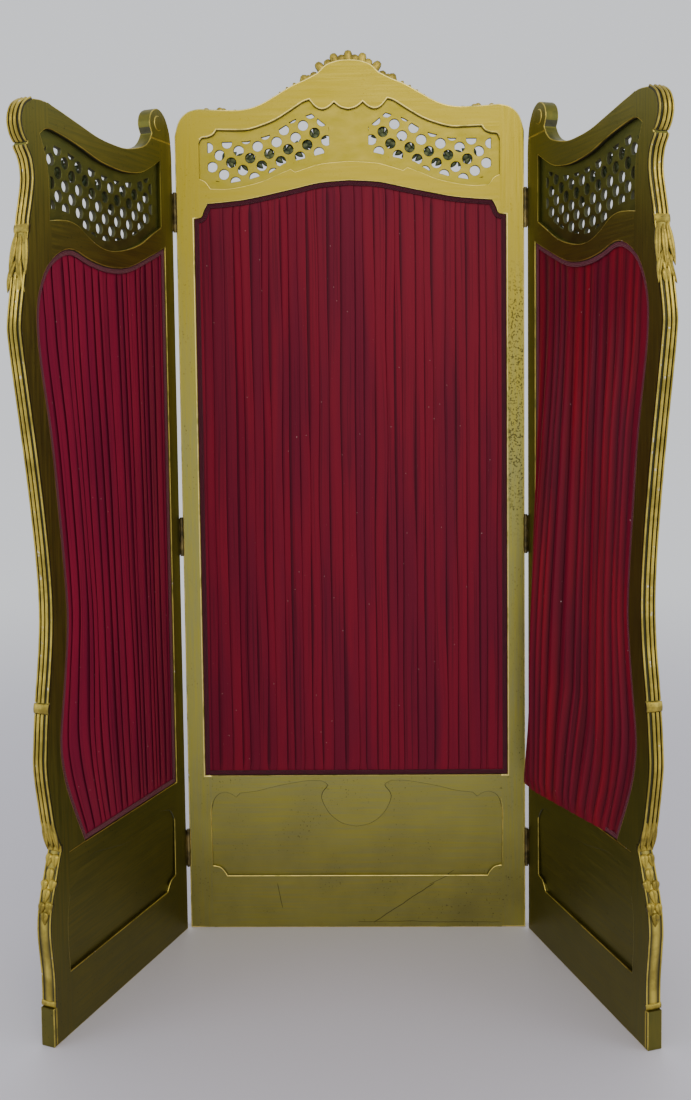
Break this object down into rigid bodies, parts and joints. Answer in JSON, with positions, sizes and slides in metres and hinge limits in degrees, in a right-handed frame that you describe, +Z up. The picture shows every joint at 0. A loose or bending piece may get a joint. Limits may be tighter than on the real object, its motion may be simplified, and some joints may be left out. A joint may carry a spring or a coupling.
{
  "type": "folding room screen",
  "caption": "Folding screen: an arched centre leaf and serpentine side leaves, with pierced spandrels over gathered cloth and a shaped base field.",
  "frame": {"origin": "on the floor, under the middle of the centre panel's width and thickness", "axes": "+Z up; +X to the viewer's right along the centre panel; the wings swing towards -Y, where the viewer stands"},
  "size_m": [1.0927, 0.5124, 1.8205],
  "materials": {
    "gilt_panel": "aged bronze-gold paint on wood, worn",
    "gilt_wing": "aged bronze-gold paint on wood, darker, worn",
    "gilt_carving": "burnished gold paint, chipped at the edges",
    "gathered_cloth": "crimson sateen, gathered in narrow pleats",
    "lining_cloth": "plain crimson cotton, stretched",
    "braid": "mauve-crimson woven gimp",
    "hinge_metal": "dark tarnished brass"
  },
  "bodies": {
    "centre_panel": {"centre_left_stile": "gilt_panel", "centre_right_stile": "gilt_panel", "crest_rail": "gilt_panel", "centre_middle_rail": "gilt_panel", "centre_lock_rail": "gilt_panel", "centre_bottom_rail": "gilt_panel", "centre_pierced_board": "gilt_panel", "centre_field_board": "gilt_panel", "centre_fabric": "gathered_cloth", "centre_lining": "lining_cloth", "centre_gimp": "braid", "crest_shell": "gilt_carving", "shoulder_leaves": "gilt_carving", "centre_garlands": "gilt_carving", "centre_pegs": "gilt_panel", "centre_hinge_screws": "hinge_metal", "left_hinge_centre_leaves": "hinge_metal", "left_hinge_pins": "hinge_metal", "right_hinge_centre_leaves": "hinge_metal", "right_hinge_pins": "hinge_metal"},
    "left_wing": {"left_hinge_stile": "gilt_wing", "left_outer_stile": "gilt_wing", "left_top_rail": "gilt_wing", "left_middle_rail": "gilt_wing", "left_lock_rail": "gilt_wing", "left_bottom_rail": "gilt_wing", "left_scroll": "gilt_wing", "left_pierced_board": "gilt_wing", "left_field_board": "gilt_wing", "left_fabric": "gathered_cloth", "left_lining": "lining_cloth", "left_gimp": "braid", "left_edge_moulding": "gilt_carving", "left_edge_leaves": "gilt_carving", "left_foot_block": "gilt_carving", "left_garland": "gilt_carving", "left_pegs": "gilt_wing", "left_hinge_wing_leaves": "hinge_metal", "left_hinge_screws": "hinge_metal"},
    "right_wing": {"right_hinge_stile": "gilt_wing", "right_outer_stile": "gilt_wing", "right_top_rail": "gilt_wing", "right_middle_rail": "gilt_wing", "right_lock_rail": "gilt_wing", "right_bottom_rail": "gilt_wing", "right_scroll": "gilt_wing", "right_pierced_board": "gilt_wing", "right_field_board": "gilt_wing", "right_fabric": "gathered_cloth", "right_lining": "lining_cloth", "right_gimp": "braid", "right_edge_moulding": "gilt_carving", "right_edge_leaves": "gilt_carving", "right_foot_block": "gilt_carving", "right_garland": "gilt_carving", "right_pegs": "gilt_wing", "right_hinge_wing_leaves": "hinge_metal", "right_hinge_screws": "hinge_metal"}
  },
  "joints": [
    {"name": "left_wing_hinge", "type": "hinge", "parent": "centre_panel", "child": "left_wing", "pos_m": [-0.354, -0.0175, 0], "axis": [0, 0, 1], "range_deg": [-69, 109]},
    {"name": "right_wing_hinge", "type": "hinge", "parent": "centre_panel", "child": "right_wing", "pos_m": [0.354, -0.0175, 0], "axis": [0, 0, -1], "range_deg": [-72, 96]}
  ]
}
